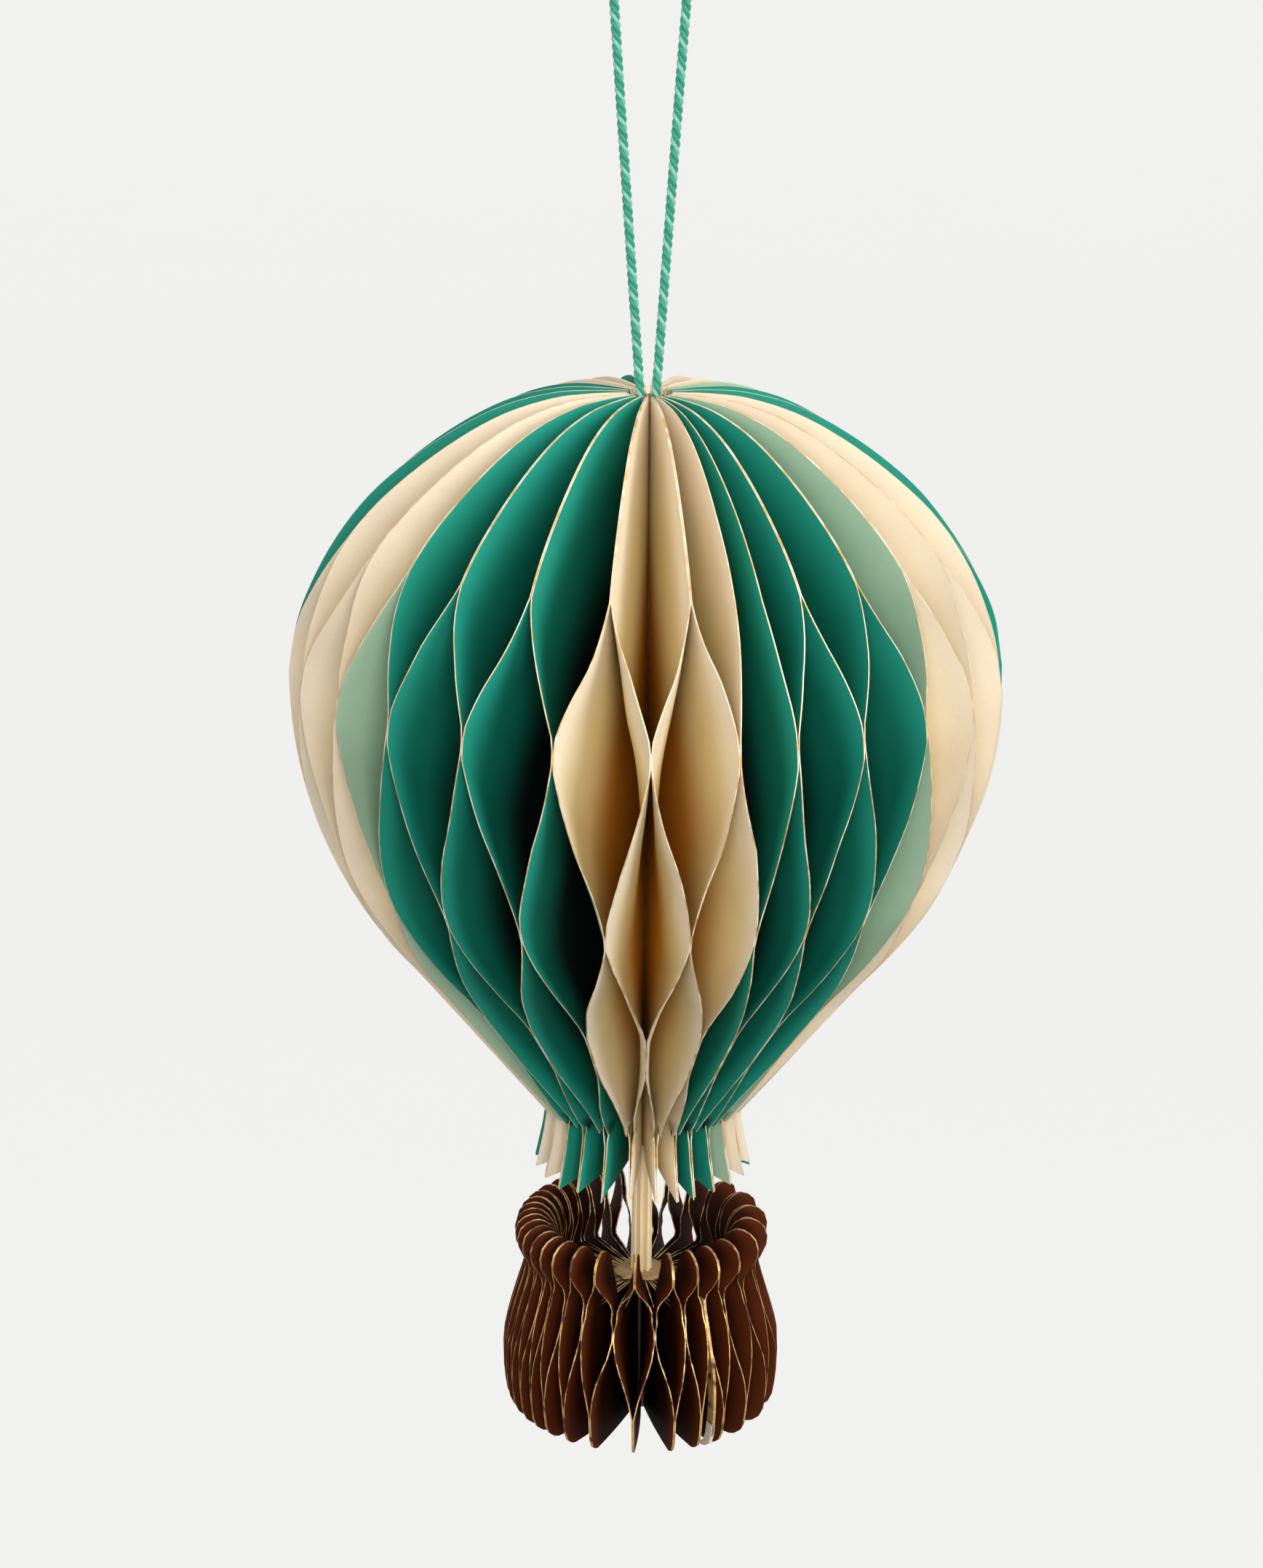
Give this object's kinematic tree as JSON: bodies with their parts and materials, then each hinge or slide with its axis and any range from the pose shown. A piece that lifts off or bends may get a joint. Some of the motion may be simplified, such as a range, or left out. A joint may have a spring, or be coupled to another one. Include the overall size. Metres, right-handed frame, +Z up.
{
  "type": "honeycomb paper balloon ornament",
  "caption": "Hanging honeycomb balloon of cream and green card leaves over a small brown card basket, on a doubled cord loop.",
  "frame": {"origin": "hanging point, on the underside of the cord at the top of its loop", "axes": "+Z up along the balloon's axis, -Y towards the pictured front, +X to the right"},
  "size_m": [0.0998, 0.0999, 0.2145],
  "materials": {
    "cream_card": "matt cream card with a gilded edge",
    "green_card": "matt teal green card with a gilded edge",
    "brown_card": "matt brown card with a glittered gold edge",
    "braided_cord": "fine braided cord with a pale fleck"
  },
  "bodies": {
    "root": {"basket_core": "brown_card", "basket_leaves_1": "brown_card", "basket_leaves_2": "brown_card", "basket_leaves_3": "brown_card", "basket_leaves_4": "brown_card", "basket_leaves_5": "brown_card", "envelope_core": "cream_card", "hanging_cord": "braided_cord", "leaf_01_green": "green_card", "leaf_02_green": "green_card", "leaf_03_green": "green_card", "leaf_04_green": "green_card", "leaf_05_green": "green_card", "leaf_06_cream": "cream_card", "leaf_07_cream": "cream_card", "leaf_08_cream": "cream_card", "leaf_09_cream": "cream_card", "leaf_10_cream": "cream_card", "leaf_11_green": "green_card", "leaf_12_green": "green_card", "leaf_13_green": "green_card", "leaf_14_green": "green_card", "leaf_15_green": "green_card", "leaf_16_cream": "cream_card", "leaf_17_cream": "cream_card", "leaf_18_cream": "cream_card", "leaf_19_cream": "cream_card", "leaf_20_cream": "cream_card", "leaf_21_green": "green_card", "leaf_22_green": "green_card", "leaf_23_green": "green_card", "leaf_24_green": "green_card", "leaf_25_green": "green_card", "leaf_26_cream": "cream_card", "leaf_27_cream": "cream_card", "leaf_28_cream": "cream_card", "leaf_29_cream": "cream_card", "leaf_30_cream": "cream_card", "leaf_31_green": "green_card", "leaf_32_green": "green_card", "leaf_33_green": "green_card", "leaf_34_green": "green_card", "leaf_35_green": "green_card", "leaf_36_cream": "cream_card", "leaf_37_cream": "cream_card", "leaf_38_cream": "cream_card", "leaf_39_cream": "cream_card", "leaf_40_cream": "cream_card", "leaf_41_green": "green_card", "leaf_42_green": "green_card", "leaf_43_green": "green_card", "leaf_44_green": "green_card", "leaf_45_green": "green_card", "leaf_46_cream": "cream_card", "leaf_47_cream": "cream_card", "leaf_48_cream": "cream_card", "leaf_49_cream": "cream_card", "leaf_50_cream": "cream_card", "neck_strips": "cream_card"}
  },
  "joints": []
}
